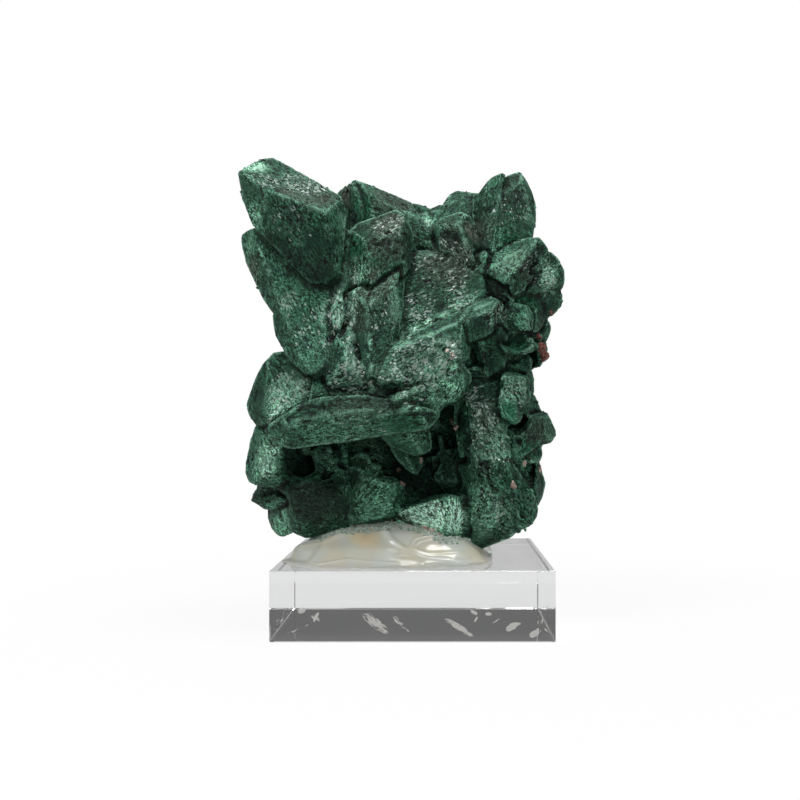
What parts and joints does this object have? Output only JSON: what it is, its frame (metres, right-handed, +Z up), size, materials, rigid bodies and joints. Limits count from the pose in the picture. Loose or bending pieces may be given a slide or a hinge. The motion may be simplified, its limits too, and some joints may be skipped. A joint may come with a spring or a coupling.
{
  "type": "malachite after azurite pseudomorph on a display block",
  "caption": "Cluster of blocky dark green malachite crystals in the shape of azurite, set upright in clear adhesive on a square clear acrylic block.",
  "frame": {"origin": "middle of the acrylic block's underside", "axes": "+Z up, the longest extent; the show side faces -Y, and X runs along the block's front edge"},
  "size_m": [0.097, 0.0762, 0.1379],
  "materials": {
    "malachite": "velvety to satin, fibrous and sparkling, worn pale green along the edges",
    "adhesive": "milky translucent, glossy, lumpy where it set",
    "acrylic": "polished clear, lightly scuffed underneath"
  },
  "bodies": {
    "root": {"crystal_cluster": "malachite", "adhesive_bed": "adhesive", "acrylic_block": "acrylic"}
  },
  "joints": []
}
